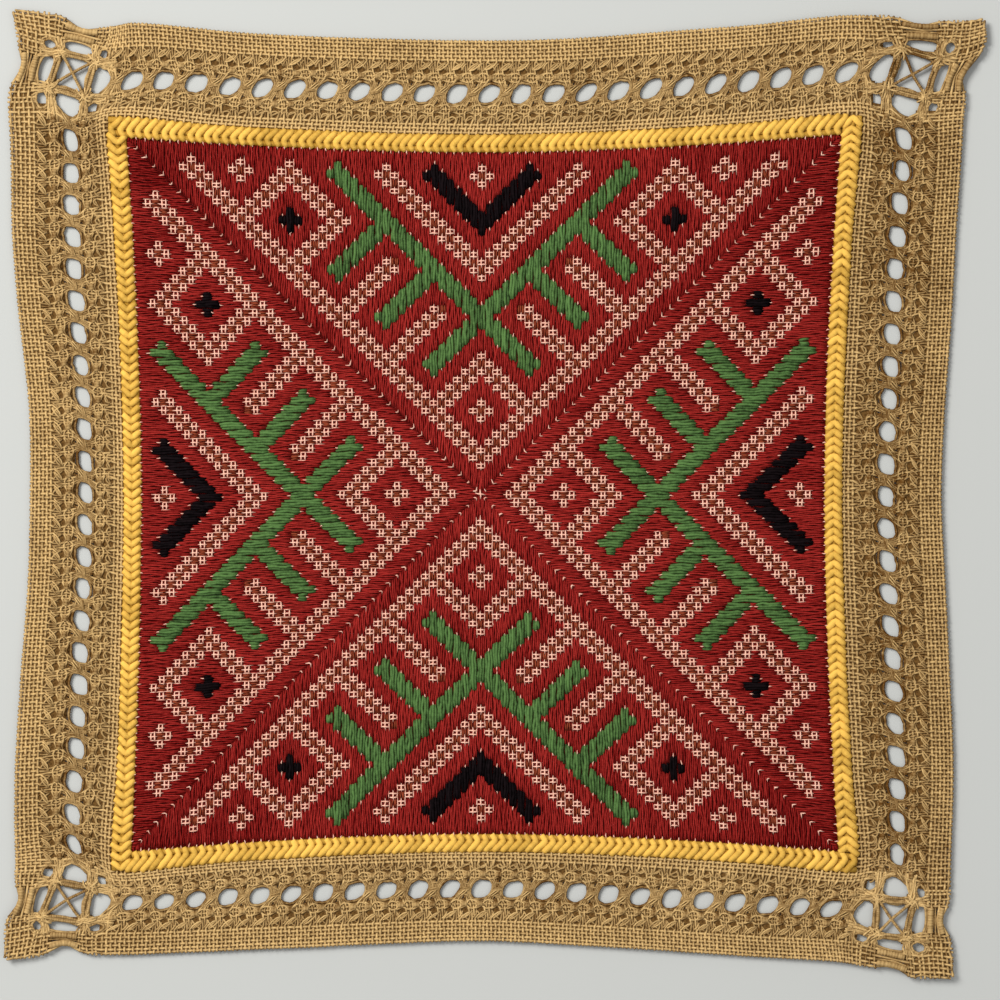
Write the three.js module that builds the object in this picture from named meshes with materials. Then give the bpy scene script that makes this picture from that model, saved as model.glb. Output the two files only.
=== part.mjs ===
// Square linen table cloth with a drawn-thread border, a braided frame and a darned centre.
// Millimetres, +Z up, lying flat: the underside of the linen is at z = 0.
import * as THREE from "three";

// The plan is measured in units of planUnit, with x to the right and y down from the top left.
const planUnit = 0.29;
const planMiddle = { x: 495.15, y: 494 };

const linenThickness = 1.2;
const darningThickness = 0.8;
const brightYarnExtra = 0.25; // the green and black yarns stand this much prouder than the red
const braidHeight = 1.5;
const layerGap = 0.3; // between one piece and the next, in every direction

// Threads of the linen, counted from the middle of the cloth.
const fieldThreads = 87.5; // to the edge of the darned centre
const braidThreads = 4.5; // width of the braid
const apexThread = 7.2; // height of chart row 0 in each wedge
const threadsPerCell = 2; // one cell of the chart

// The darned centre: its half widths halfway along each side, and how much more at the corners.
const field = {
  x: 483.2,
  y: 493.8,
  left: { half: 342.2, up: 15, down: 10 },
  right: { half: 341.8, up: 17, down: 14 },
  top: { half: 341.8, left: 15, right: 18 },
  bottom: { half: 340.7, left: 17.5, right: 17.5 },
};
const fieldBow = 1.8; // how sharply the sides turn out towards the corners

// Where the threads of the centre are drawn aside from an even grid: the middle of each place and its
// reach, as parts of the half width, and how far its threads go right and down, in plan units.
const drawnPlaces = [
  { across: -0.5, up: -0.2, wide: 1, high: 2.2, right: -3.5, down: 0 },
  { across: -0.5, up: -0.8, wide: 1, high: 0.6, right: -1, down: 0 },
  { across: 0.5, up: -0.1, wide: 0.8, high: 0.5, right: -2, down: 0 },
  { across: 0.6, up: 0.5, wide: 0.5, high: 0.5, right: 1.5, down: 0 },
  { across: -1, up: -0.1, wide: 0.8, high: 1, right: 0, down: 4.5 },
  { across: 0.5, up: -0.4, wide: 0.7, high: 0.8, right: 0, down: 3.5 },
];

// Outer edge, clockwise from the top left lobe: [x, y] in plan units.
const outline = [
  [10.9, 13.8], [13.8, 7.5], [23, 8.6], [34.4, 9], [46, 10.3], [50.5, 13.2], [64.3, 16], [71.2, 21.8],
  [80.4, 27.5], [90.7, 31.6], [97.6, 28], [109, 27], [120.5, 24], [133, 23], [160.7, 27], [200, 30],
  [250, 34], [330, 38], [400, 40.5], [500, 41], [580, 38.5], [650, 33], [700, 29.5], [750, 26],
  [790, 21.5], [822, 17.5], [843, 16], [871.7, 14.3], [893.5, 16.5], [910.7, 17.2], [916.4, 21.2],
  [925.6, 23.5], [934.8, 23.5], [940.6, 21.2], [955.5, 21.2], [969.3, 17.8], [984.2, 18.4],
  [986.5, 28.7], [985.3, 40.2], [981.9, 49.4], [979.6, 57.4], [972.7, 68.9], [966.4, 74.6],
  [963.5, 85], [965.2, 97.6], [963, 106.8], [962, 137.8], [958.5, 179], [955, 250], [950.5, 330],
  [945.5, 390], [941.5, 455], [940.5, 490], [943, 525], [944, 580], [947, 640], [951, 700],
  [953, 760], [952.4, 832], [951.8, 857.4], [949.2, 876.5], [949.2, 908.4], [944.8, 913.5],
  [943.5, 923.7], [946.7, 931.4], [950.5, 937.8], [951.8, 949.2], [954.3, 958.2], [953.7, 976],
  [940.3, 979.8], [932.6, 980.5], [912, 976.7], [902, 976.7], [897, 972.2], [889, 967], [876.5, 964.5],
  [868.9, 966.5], [858.7, 962], [842, 961.4], [800, 958.2], [750, 956], [680, 951], [620, 947.5],
  [575, 944.5], [500, 941], [455, 939.5], [390, 943], [340, 946], [250, 949], [200, 951], [165.8, 953.7],
  [127.6, 954.3], [108.4, 955], [94.4, 951.8], [79, 953], [74, 948], [65, 946], [56, 947.3],
  [52.3, 951.8], [42, 955], [34.4, 951.8], [25.5, 960.7], [15.3, 961.4], [5.7, 959.4], [3.8, 946.7],
  [4.5, 932.7], [7, 917.3], [11.5, 909.7], [16.6, 902], [17.9, 893], [15.3, 884], [15.3, 876.5],
  [15.9, 825.5], [16, 750], [19, 700], [24, 640], [28, 590], [29.5, 550], [30.5, 490], [31, 440],
  [29, 400], [24, 350], [18.5, 310], [13, 250], [11.5, 200], [10.9, 149], [9.8, 114.8], [9.8, 85],
  [13.8, 78], [19, 71.2], [20.7, 60.8], [19, 50.5], [18.4, 41.3], [17.2, 35.6], [12, 31], [10.3, 21.8],
];

// The large openings of the border. Each side has an end opening at both corners and 23 even ones
// between, from "from" to "to" along the side; "depth" gives [along, across] knots of the row.
// halfAlong and halfAcross are half sizes of one opening, lean is its shear, all in plan units.
const openingRows = {
  top: {
    from: 133, to: 846, halfAlong: 10.4, halfAcross: 10.2, lean: -0.35,
    depth: [
      [133, 81], [198, 84.5], [330, 90.5], [457, 94], [552, 94], [618, 91], [700, 85.5], [779, 78],
      [846, 72.5],
    ],
    ends: [
      { x: 101.6, y: 79.2, halfX: 10.4, halfY: 12.4 },
      { x: 881.7, y: 71.8, halfX: 11, halfY: 12.8 },
    ],
  },
  right: {
    from: 139, to: 854, halfAlong: 11, halfAcross: 9.4, lean: 0.3,
    depth: [
      [139, 904], [204, 899.5], [330, 892.5], [434, 888], [499, 886], [563, 887.5], [660, 893],
      [756, 897], [854, 897],
    ],
    ends: [
      { x: 907, y: 106.5, halfX: 14, halfY: 11.4 },
      { x: 894.5, y: 890, halfX: 11, halfY: 11.6 },
    ],
  },
  bottom: {
    from: 133, to: 830, halfAlong: 10.2, halfAcross: 9.8, lean: -0.4,
    depth: [
      [133, 902], [227, 897], [340, 891.5], [450, 888.5], [511, 889], [575, 892.4], [680, 899.5],
      [765, 905], [830, 909],
    ],
    ends: [
      { x: 98, y: 905, halfX: 11, halfY: 9.2 },
      { x: 864, y: 912, halfX: 10, halfY: 13.4 },
    ],
  },
  left: {
    from: 141, to: 844, halfAlong: 11.6, halfAcross: 8.6, lean: 0.32,
    depth: [
      [141, 71], [238, 72], [340, 78.5], [431, 85], [526, 85.5], [640, 80.5], [750, 76],
      [844, 73.5],
    ],
    ends: [
      { x: 69.5, y: 105, halfX: 12.2, halfY: 12.4 },
      { x: 74.5, y: 874.6, halfX: 12.6, halfY: 10.4 },
    ],
  },
};
const openingsBetweenEnds = 23;
const openingSides = 12;

// The corner windows: four woven knots in a ring round a wrapped cross, and two lens openings beside
// the wrapped edge. Each lens is [x, y, half length, half width, degrees].
const cornerWindows = [
  { knots: [[60.8, 52.8], [95.3, 60.8], [85, 97.6], [50.5, 87.3]], cross: [72.3, 72.9],
    lenses: [[78.6, 49.4, 13.4, 5, 22], [44.2, 72.3, 17, 7.4, 106]] },
  { knots: [[900.4, 48.2], [939.4, 58.5], [926.8, 97.6], [887.7, 88.4]], cross: [912.4, 74.6],
    lenses: [[923, 48, 15.2, 5.4, 15], [942.4, 75.2, 13.6, 5.2, 124]] },
  { knots: [[877.8, 898.2], [913.5, 900.8], [905.9, 937.8], [875.3, 934]], cross: [891.2, 919.3],
    lenses: [[920.4, 921.2, 15.6, 6.4, 94], [889.2, 945.4, 13.6, 4.4, 24]] },
  { knots: [[55.5, 881.6], [90.6, 888], [84.2, 922.4], [42, 917.3]], cross: [67, 899.5],
    lenses: [[42.3, 899.6, 14.6, 5.8, 114], [65.8, 926.4, 15, 4.2, 12]] },
];
const wrappedBarHalf = 3.4; // half width of the bars between the knots
const crossBarHalf = 2; // half width of the arms of the cross
const crossSides = 3; // corners of each small opening between the arms

// Chart of the green branches, right half, in cells from the wedge's axis: [column, row].
const branchHalf = [
  [0, 20.5], [18.5, 39], [19.4, 37.5], [19.4, 36.5], [18.5, 36], [13.5, 31], [18.5, 26], [19.4, 25.5],
  [19.4, 24.5], [18.5, 23], [12, 29.5], [7.5, 25], [12.5, 20], [13.4, 19.5], [13.4, 18.5], [12.5, 17],
  [6, 23.5], [1.5, 19], [6.5, 14], [7.4, 13.5], [7.4, 12.5], [6.5, 11], [0, 17.5],
];
// Chart of the black chevron, right half.
const chevronHalf = [[0, 32.5], [6.5, 39], [7.4, 37.5], [7.4, 36.5], [6.5, 36], [0, 29.5]];
// A black dot is one cell with a cell on each side of it.
const dotLoop = [
  [0.5, 1.5], [0.5, 0.5], [1.5, 0.5], [1.5, -0.5], [0.5, -0.5], [0.5, -1.5],
  [-0.5, -1.5], [-0.5, -0.5], [-1.5, -0.5], [-1.5, 0.5], [-0.5, 0.5], [-0.5, 1.5],
];
const dotCell = { column: 24, row: 31 };

const colours = {
  linen: 0xc39a62,
  red: 0x7d1418,
  green: 0x4a7f3c,
  black: 0x14100f,
  yellow: 0xe9b93c,
};

// A point of the plan in millimetres.
function fromPlan(x, y) {
  return new THREE.Vector2((x - planMiddle.x) * planUnit, (planMiddle.y - y) * planUnit);
}

// A soft hump: 1 at 0, and 0 from -1 and from 1 on.
function hump(t) {
  return Math.max(1 - t * t, 0) ** 2;
}

// How far the crossing at p and q of the half widths is drawn aside. No edge of the centre moves out or in.
function drawnAside(p, q) {
  const aside = { right: 0, down: 0 };
  drawnPlaces.forEach((place) => {
    const share = hump((p - place.across) / place.wide) * hump((q - place.up) / place.high);
    aside.right += share * place.right * Math.max(1 - p ** 6, 0);
    aside.down += share * place.down * Math.max(1 - q ** 6, 0);
  });
  return aside;
}

// The place of a crossing of the linen, u threads right and v threads up from the middle.
function clothPoint(u, v) {
  const p = u / fieldThreads;
  const q = v / fieldThreads;
  const sideX = p < 0 ? field.left : field.right;
  const sideY = q > 0 ? field.top : field.bottom;
  const outX = q > 0 ? sideX.up : sideX.down;
  const outY = p < 0 ? sideY.left : sideY.right;
  const reachX = sideX.half + Math.abs(p) * outX * Math.abs(q) ** fieldBow;
  const reachY = sideY.half + Math.abs(q) * outY * Math.abs(p) ** fieldBow;
  const aside = drawnAside(p, q);
  return fromPlan(field.x + p * reachX + aside.right, field.y - q * reachY + aside.down);
}

// Straight-line reading of a table of [along, value] knots.
function readTable(knots, along) {
  let i = 1;
  while (i < knots.length - 1 && knots[i][0] < along) {
    i += 1;
  }
  const [a0, v0] = knots[i - 1];
  const [a1, v1] = knots[i];
  return v0 + ((v1 - v0) * (along - a0)) / (a1 - a0);
}

// The loop moved out by distance along its mitred corners; the loop runs anticlockwise in mm.
function grownLoop(loop, distance) {
  return loop.map((point, i) => {
    const before = loop[(i + loop.length - 1) % loop.length];
    const after = loop[(i + 1) % loop.length];
    const inward = point.clone().sub(before).normalize();
    const outward = after.clone().sub(point).normalize();
    const normalA = new THREE.Vector2(inward.y, -inward.x);
    const normalB = new THREE.Vector2(outward.y, -outward.x);
    const mitre = normalA.clone().add(normalB);
    const length = distance / Math.max(0.35, (1 + normalA.dot(normalB)) / 2);
    return point.clone().add(mitre.multiplyScalar(length / 2));
  });
}

function anticlockwise(loop) {
  return THREE.ShapeUtils.area(loop) < 0 ? loop.slice().reverse() : loop;
}

// A flat plate over the loop, with openings cut through it, from z to z + height.
function plate(loop, openings, z, height) {
  const shape = new THREE.Shape(anticlockwise(loop));
  openings.forEach((opening) => shape.holes.push(new THREE.Path(anticlockwise(opening))));
  const geometry = new THREE.ExtrudeGeometry(shape, { depth: height, bevelEnabled: false });
  geometry.translate(0, 0, z);
  return geometry;
}

const group = new THREE.Group();

function addMesh(name, geometry, color, roughness) {
  const mesh = new THREE.Mesh(geometry, new THREE.MeshStandardMaterial({ color, roughness }));
  mesh.name = name;
  group.add(mesh);
}

// The linen: one sheet with the openings of its border cut through.
function ovalOpening(x, y, halfX, halfY, shearX, shearY) {
  const loop = [];
  for (let i = 0; i < openingSides; i += 1) {
    const angle = (i / openingSides) * 2 * Math.PI;
    const dx = halfX * Math.cos(angle);
    const dy = halfY * Math.sin(angle);
    loop.push(fromPlan(x + dx + shearX * dy, y + dy + shearY * dx));
  }
  return loop;
}

function lensOpening([x, y, halfLength, halfWidth, degrees]) {
  const turn = THREE.MathUtils.degToRad(degrees);
  const loop = [];
  for (let i = 0; i < openingSides; i += 1) {
    const angle = (i / openingSides) * 2 * Math.PI;
    const along = halfLength * Math.cos(angle);
    const across = halfWidth * Math.sin(angle);
    loop.push(fromPlan(
      x + along * Math.cos(turn) - across * Math.sin(turn),
      y + along * Math.sin(turn) + across * Math.cos(turn),
    ));
  }
  return loop;
}

function borderOpenings() {
  const openings = [];
  for (const [side, row] of Object.entries(openingRows)) {
    const upright = side === "left" || side === "right";
    for (let i = 0; i < openingsBetweenEnds; i += 1) {
      const along = row.from + ((row.to - row.from) * i) / (openingsBetweenEnds - 1);
      const across = readTable(row.depth, along);
      openings.push(upright
        ? ovalOpening(across, along, row.halfAcross, row.halfAlong, row.lean, 0)
        : ovalOpening(along, across, row.halfAlong, row.halfAcross, row.lean * 0.5, row.lean * 0.5));
    }
    row.ends.forEach((end) => openings.push(ovalOpening(end.x, end.y, end.halfX, end.halfY, 0, 0)));
  }
  return openings;
}

// The triangle a, b, c drawn in by its own distance on each side: ab, bc and ca.
function drawnInTriangle(a, b, c, offAB, offBC, offCA) {
  const corners = [a, b, c];
  const sides = [offAB, offBC, offCA];
  const middle = new THREE.Vector2((a.x + b.x + c.x) / 3, (a.y + b.y + c.y) / 3);
  const lines = corners.map((from, i) => {
    const to = corners[(i + 1) % 3];
    const along = to.clone().sub(from).normalize();
    const normal = new THREE.Vector2(-along.y, along.x);
    if (normal.dot(middle.clone().sub(from)) < 0) {
      normal.negate();
    }
    return { from: from.clone().add(normal.multiplyScalar(sides[i])), along };
  });
  return lines.map((line, i) => {
    const next = lines[(i + 1) % crossSides];
    const gap = next.from.clone().sub(line.from);
    const share = gap.cross(next.along) / line.along.cross(next.along);
    return line.from.clone().add(line.along.clone().multiplyScalar(share));
  });
}

function windowOpenings(corner) {
  const knots = corner.knots.map(([x, y]) => fromPlan(x, y));
  const cross = fromPlan(...corner.cross);
  const openings = knots.map((knot, i) => {
    const next = knots[(i + 1) % knots.length];
    return drawnInTriangle(
      knot, next, cross, wrappedBarHalf * planUnit, crossBarHalf * planUnit, crossBarHalf * planUnit,
    );
  });
  return openings.concat(corner.lenses.map(lensOpening));
}

const longestEdge = 32; // plan units between neighbouring points of the outer edge

function outerEdge() {
  const points = outline.map(([x, y]) => new THREE.Vector2(x, y));
  const loop = [];
  points.forEach((point, i) => {
    const next = points[(i + 1) % points.length];
    const before = points[(i + points.length - 1) % points.length];
    const after = points[(i + 2) % points.length];
    const curve = new THREE.SplineCurve([before, point, next, after]);
    const pieces = Math.max(1, Math.round(point.distanceTo(next) / longestEdge));
    for (let j = 0; j < pieces; j += 1) {
      const at = pieces === 1 ? point : curve.getPoint((1 + j / pieces) / 3);
      loop.push(fromPlan(at.x, at.y));
    }
  });
  return loop;
}

const openings = borderOpenings();
cornerWindows.forEach((corner) => openings.push(...windowOpenings(corner)));
addMesh("linen_ground", plate(outerEdge(), openings, 0, linenThickness), colours.linen, 0.9);

// The darned centre: four wedges, each turned a quarter from the last.
const wedges = {
  top: (a, b) => clothPoint(a, b),
  right: (a, b) => clothPoint(b, -a),
  bottom: (a, b) => clothPoint(-a, -b),
  left: (a, b) => clothPoint(-b, a),
};
const darningBase = linenThickness + layerGap;
const threadSize = planUnit * (field.top.half / fieldThreads);
const wedgeSteps = 24; // pieces of each long side

function wholeChart(half) {
  const mirrored = half.filter(([column]) => column > 0).map(([column, row]) => [-column, row]).reverse();
  return half.concat(mirrored);
}

function chartLoop(place, cells) {
  return anticlockwise(cells.map(([column, row]) => place(
    column * threadsPerCell,
    apexThread + row * threadsPerCell,
  )));
}

function wedgeLoop(place) {
  const inset = (layerGap / 2 / threadSize) * Math.SQRT2;
  const top = fieldThreads - layerGap / 2 / threadSize;
  const loop = [];
  for (let i = 0; i <= wedgeSteps; i += 1) {
    const share = i / wedgeSteps;
    loop.push(place((top - inset) * share, (top - inset) * share + inset));
  }
  for (let i = 1; i <= wedgeSteps; i += 1) {
    loop.push(place((top - inset) * (1 - (2 * i) / wedgeSteps), top));
  }
  for (let i = 1; i < wedgeSteps; i += 1) {
    const share = 1 - i / wedgeSteps;
    loop.push(place(-(top - inset) * share, (top - inset) * share + inset));
  }
  return loop;
}

for (const [side, place] of Object.entries(wedges)) {
  const branch = chartLoop(place, wholeChart(branchHalf));
  const chevron = chartLoop(place, wholeChart(chevronHalf));
  const dots = [-1, 1].map((sign) => chartLoop(
    place,
    dotLoop.map(([column, row]) => [sign * dotCell.column + column, dotCell.row + row]),
  ));
  const cutOuts = [branch, chevron, ...dots].map((loop) => grownLoop(loop, layerGap));
  const ground = plate(wedgeLoop(place), cutOuts, darningBase, darningThickness);
  addMesh(`darning_${side}`, ground, colours.red, 0.8);
  const proud = darningThickness + brightYarnExtra;
  addMesh(`branches_${side}`, plate(branch, [], darningBase, proud), colours.green, 0.8);
  addMesh(`chevron_${side}`, plate(chevron, [], darningBase, proud), colours.black, 0.7);
  dots.forEach((dot, i) => {
    addMesh(`dot_${side}_${i + 1}`, plate(dot, [], darningBase, proud), colours.black, 0.7);
  });
}

// The braid: a crowned band along each side of the darned centre. Each run starts beyond one corner
// of the centre and stops against the next run.
const braidSteps = 26;
const braidSection = [[0, 0], [1, 0], [1, 0.35], [0.86, 0.75], [0.6, 1], [0.4, 1], [0.14, 0.75], [0, 0.35]];

function braidRun(place) {
  const gap = layerGap / 2 / threadSize;
  const inner = fieldThreads + gap;
  const width = braidThreads - 2 * gap;
  const start = -fieldThreads - braidThreads + gap;
  const end = fieldThreads - gap;
  const corners = [];
  for (let i = 0; i <= braidSteps; i += 1) {
    const along = start + ((end - start) * i) / braidSteps;
    for (const [across, height] of braidSection) {
      const at = place(along, inner + width * across);
      corners.push([at.x, at.y, darningBase + braidHeight * height]);
    }
  }
  const count = braidSection.length;
  const faces = [];
  for (let i = 0; i < braidSteps; i += 1) {
    for (let j = 0; j < count; j += 1) {
      const k = (j + 1) % count;
      const a = i * count + j;
      const b = i * count + k;
      faces.push([a, a + count, b + count], [a, b + count, b]);
    }
  }
  for (let j = 1; j < count - 1; j += 1) {
    const last = braidSteps * count;
    faces.push([0, j, j + 1], [last, last + j + 1, last + j]);
  }
  const geometry = new THREE.BufferGeometry();
  geometry.setAttribute("position", new THREE.Float32BufferAttribute(corners.flat(), 3));
  geometry.setIndex(faces.map(([a, b, c]) => [a, c, b]).flat());
  geometry.computeVertexNormals();
  return geometry;
}

for (const [side, place] of Object.entries(wedges)) {
  addMesh(`braid_${side}`, braidRun(place), colours.yellow, 0.7);
}

export default group;
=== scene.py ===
import math

import bpy
import numpy as np
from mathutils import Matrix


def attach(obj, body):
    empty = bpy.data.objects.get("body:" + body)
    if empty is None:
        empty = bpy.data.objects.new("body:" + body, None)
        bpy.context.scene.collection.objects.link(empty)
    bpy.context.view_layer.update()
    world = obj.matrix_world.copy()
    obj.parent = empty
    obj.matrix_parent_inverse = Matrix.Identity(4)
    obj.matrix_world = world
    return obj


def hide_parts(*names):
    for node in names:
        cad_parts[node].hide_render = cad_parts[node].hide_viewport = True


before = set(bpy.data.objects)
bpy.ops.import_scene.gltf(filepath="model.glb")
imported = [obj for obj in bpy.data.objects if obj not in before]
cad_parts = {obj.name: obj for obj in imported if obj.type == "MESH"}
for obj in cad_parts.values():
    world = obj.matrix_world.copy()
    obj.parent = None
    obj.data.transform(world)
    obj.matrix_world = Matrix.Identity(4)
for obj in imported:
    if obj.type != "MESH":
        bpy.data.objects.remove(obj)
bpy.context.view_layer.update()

luck = np.random.default_rng(41)


# Small chances of place, thickness and tone, as nothing in the cloth is even.
def shake(spread, count=None):
    return luck.normal(0, spread, count)


# The plan of the cloth: x to the right, y down, in plan units of 0.29 mm, as the cloth lies on the table.
cloth = {
    "unit": 0.00029,
    "middle": (495.15, 494.0),
    "fieldMiddle": (483.2, 493.8),
    "fieldThreads": 87.5,  # linen threads from the middle to the edge of the darned centre
    "rimThreads": 116.3,
    "bow": 1.8,
    "left": {"half": 342.2, "up": 15.0, "down": 10.0},
    "right": {"half": 341.8, "up": 17.0, "down": 14.0},
    "top": {"half": 341.8, "left": 15.0, "right": 18.0},
    "bottom": {"half": 340.7, "left": 17.5, "right": 17.5},
    "rest": 0.00002,  # lowest point of any yarn above the table
}

# Threads that were left in the border, counted from the middle of the cloth.
bands = {
    "hem": [92.4, 93.4, 94.4],
    "inner": [97.2, 98.25, 99.3],
    "outer": [105.4, 106.45, 107.5],
    "edge": [111.1, 112.1, 113.1, 114.1, 115.1, 116.0],
}
bandMiddle = {"innerSlot": 95.9, "inner": 98.25, "gap": 102.3, "outer": 106.45, "slot": 109.35, "edge": 113.4,
              "rim": 116.3}
tiePitch = 8.0  # threads from one large opening to the next
groupPitch = 4.0

# Where the corners lie: band across, band down, then x and y of the four corners.
cornerPlaces = [
    # across, down, top left, top right, bottom right, bottom left
    ("rim", "rim", (10.9, 8.5), (986, 17.5), (954, 980.3), (3.5, 961)),
    ("edge", "edge", (29.2, 23), (971, 32), (939.5, 964.5), (17.8, 946)),
    ("outer", "edge", (58.3, 29.1), (945.2, 32.3), (911, 964.5), (43.3, 941.5)),
    ("gap", "edge", (79, 33.5), (923, 31.5), (893, 959), (65.5, 939)),
    ("inner", "edge", (102.8, 39), (897, 30), (870, 955.5), (82, 942.8)),
    ("edge", "outer", (31, 49.3), (967.5, 57.3), (937.5, 939.5), (19.2, 920)),
    ("edge", "gap", (28.2, 66.6), (954.5, 77), (935.8, 920.5), (25.5, 901)),
    ("edge", "inner", (22.8, 88), (952.6, 96.5), (937, 902.7), (26.8, 881.6)),
    ("outer", "outer", (60.8, 52.8), (939.4, 58.5), (905.9, 937.8), (42, 917.3)),
    ("inner", "outer", (95.3, 60.8), (900.4, 48.2), (875.3, 934), (84.2, 922.4)),
    ("outer", "inner", (50.5, 87.3), (926.8, 97.6), (913.5, 900.8), (55.5, 881.6)),
    ("inner", "inner", (85, 97.6), (887.7, 88.4), (877.8, 898.2), (90.6, 888)),
    ("gap", "gap", (72.3, 72.9), (912.4, 74.6), (891.2, 919.3), (67, 899.5)),
    ("slot", "slot", (49.3, 43.7), (950, 46.5), (919.2, 948), (38.2, 925.5)),
    ("innerSlot", "slot", (103.3, 54), (887.7, 45.3), (860.5, 937.8), (95.5, 927.5)),
    ("slot", "innerSlot", (41.9, 98.8), (933, 107.3), (920.8, 893), (48.4, 872)),
    ("innerSlot", "innerSlot", (93, 109), (876, 99.7), (870, 883.5), (103.2, 880.2)),
    ("gap", "rim", (84, 28.5), (920, 22.5), (895.5, 971), (65, 946)),
    ("outer", "rim", (61, 15.3), (944, 21.2), (911, 977), (43, 955)),
    ("inner", "rim", (104, 27.5), (893.5, 16.5), (868.9, 966.5), (84, 953)),
    ("rim", "outer", (18.6, 45), (982.5, 50), (950.6, 939.5), (6.6, 920)),
    ("rim", "gap", (19.8, 66), (966, 77), (943.6, 921), (16.8, 901)),
    ("rim", "inner", (10, 88), (965.3, 96.5), (949.2, 902.7), (15.6, 881.6)),
]
cornerSigns = [(-1, 1), (1, 1), (1, -1), (-1, -1)]

# Lines that the middles of the large openings and the rim follow along the sides: [along, across].
sideLines = {
    "top": {"from": 133, "to": 846, "upright": False, "sign": 1,
            "openings": [[133, 81], [198, 84.5], [330, 90.5], [457, 94], [552, 94], [618, 91], [700, 85.5],
                         [779, 78], [846, 72.5]],
            "rim": [[109, 27], [133, 23], [200, 30], [330, 38], [450, 41], [500, 41], [580, 38.5], [650, 33],
                    [750, 26], [790, 21.5], [843, 16], [880, 15]]},
    "bottom": {"from": 133, "to": 830, "upright": False, "sign": -1,
               "openings": [[133, 902], [227, 897], [340, 891.5], [450, 888.5], [511, 889], [575, 892.4],
                            [680, 899.5], [765, 905], [830, 909]],
               "rim": [[100, 953], [127, 954.3], [166, 953.7], [250, 949], [340, 946], [455, 939.5], [500, 941],
                       [575, 944.5], [680, 951], [750, 956], [842, 961.4]]},
    "left": {"from": 844, "to": 141, "upright": True, "sign": -1,
             "openings": [[141, 71], [238, 72], [340, 78.5], [431, 85], [526, 85.5], [640, 80.5], [750, 76],
                          [844, 73.5]],
             "rim": [[115, 9.8], [149, 10.9], [200, 11.5], [250, 13], [310, 18.5], [350, 24], [400, 29],
                     [440, 31], [490, 30.5], [550, 29.5], [590, 28], [640, 24], [700, 19], [750, 16],
                     [825, 15.9], [876, 15.3]]},
    "right": {"from": 854, "to": 139, "upright": True, "sign": 1,
              "openings": [[139, 904], [204, 899.5], [330, 892.5], [434, 888], [499, 886], [563, 887.5],
                           [660, 893], [756, 897], [854, 897]],
              "rim": [[106, 963], [138, 962], [179, 958.5], [250, 955], [330, 950.5], [390, 945.5],
                      [455, 941.5], [490, 940.5], [525, 943], [640, 947], [700, 951], [760, 953],
                      [832, 952.4], [876, 949.2]]},
}

# How far the border lifts off the table at its rim, in mm: [along, lift].
edgeLift = {
    "top": [[0, 0.9], [120, 0.5], [400, 0.3], [700, 0.6], [870, 0.8], [990, 1.2]],
    "right": [[0, 1.2], [150, 0.8], [330, 0.5], [495, 1.2], [700, 0.6], [990, 1.3]],
    "bottom": [[0, 1.2], [180, 0.7], [330, 1.2], [520, 1.5], [760, 0.9], [990, 1.3]],
    "left": [[0, 0.9], [150, 0.4], [420, 0.2], [700, 0.5], [870, 0.7], [990, 1.2]],
}
# Where the lift starts and where it is whole, in plan units across each side.
liftReach = {"left": (100, 8), "right": (880, 982), "top": (100, 8), "bottom": (885, 978)}

# Where the threads of the centre are drawn aside from an even grid: the middle of each place and its
# reach, as parts of the half width, and how far its threads go right and down, in plan units.
drawnPlaces = [
    {"across": -0.5, "up": -0.2, "wide": 1, "high": 2.2, "right": -3.5, "down": 0},
    {"across": -0.5, "up": -0.8, "wide": 1, "high": 0.6, "right": -1, "down": 0},
    {"across": 0.5, "up": -0.1, "wide": 0.8, "high": 0.5, "right": -2, "down": 0},
    {"across": 0.6, "up": 0.5, "wide": 0.5, "high": 0.5, "right": 1.5, "down": 0},
    {"across": -1, "up": -0.1, "wide": 0.8, "high": 1, "right": 0, "down": 4.5},
    {"across": 0.5, "up": -0.4, "wide": 0.7, "high": 0.8, "right": 0, "down": 3.5},
]


# A soft hump: 1 at 0, and 0 from -1 and from 1 on.
def hump(t):
    return np.clip(1 - t * t, 0, None) ** 2


# How far the crossing at p and q of the half widths is drawn aside. No edge of the centre moves out or in.
def placesAside(p, q):
    right, down = np.zeros(np.shape(p)), np.zeros(np.shape(p))
    for place in drawnPlaces:
        share = hump((p - place["across"]) / place["wide"]) * hump((q - place["up"]) / place["high"])
        right = right + share * place["right"] * np.clip(1 - p ** 6, 0, None)
        down = down + share * place["down"] * np.clip(1 - q ** 6, 0, None)
    return right, down


def basePlan(u, v):
    u, v = np.asarray(u, float), np.asarray(v, float)
    p, q = u / cloth["fieldThreads"], v / cloth["fieldThreads"]
    left, right, top, bottom = (cloth[side] for side in ("left", "right", "top", "bottom"))
    halfX = np.where(p < 0, left["half"], right["half"])
    outX = np.where(p < 0, np.where(q > 0, left["up"], left["down"]),
                    np.where(q > 0, right["up"], right["down"]))
    halfY = np.where(q > 0, top["half"], bottom["half"])
    outY = np.where(q > 0, np.where(p < 0, top["left"], top["right"]),
                    np.where(p < 0, bottom["left"], bottom["right"]))
    reachX = halfX + np.abs(p) * outX * np.abs(q) ** cloth["bow"]
    reachY = halfY + np.abs(q) * outY * np.abs(p) ** cloth["bow"]
    right, down = placesAside(p, q)
    x = cloth["fieldMiddle"][0] + p * reachX + right
    y = cloth["fieldMiddle"][1] - q * reachY + down
    return x, y


def readTable(knots, along):
    table = np.array(knots, float)
    return np.interp(along, table[:, 0], table[:, 1])


# The border is pulled smoothly from the even plan to the places above. The darned centre stays as it is.
pull = {
    "end": 88.0,  # thread of the first and the last large opening of a side
    "stops": 9,
    "follow": 0.6,  # how much of the plan's own slant a line across the border keeps
    "still": 92,  # thread that is held where it is
    "give": 4.0,  # how loosely the places are met
    "from": 89, "over": 4,  # the pull grows from this thread, over so many threads
    "part": 40000,  # points worked out at a time
}


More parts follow.
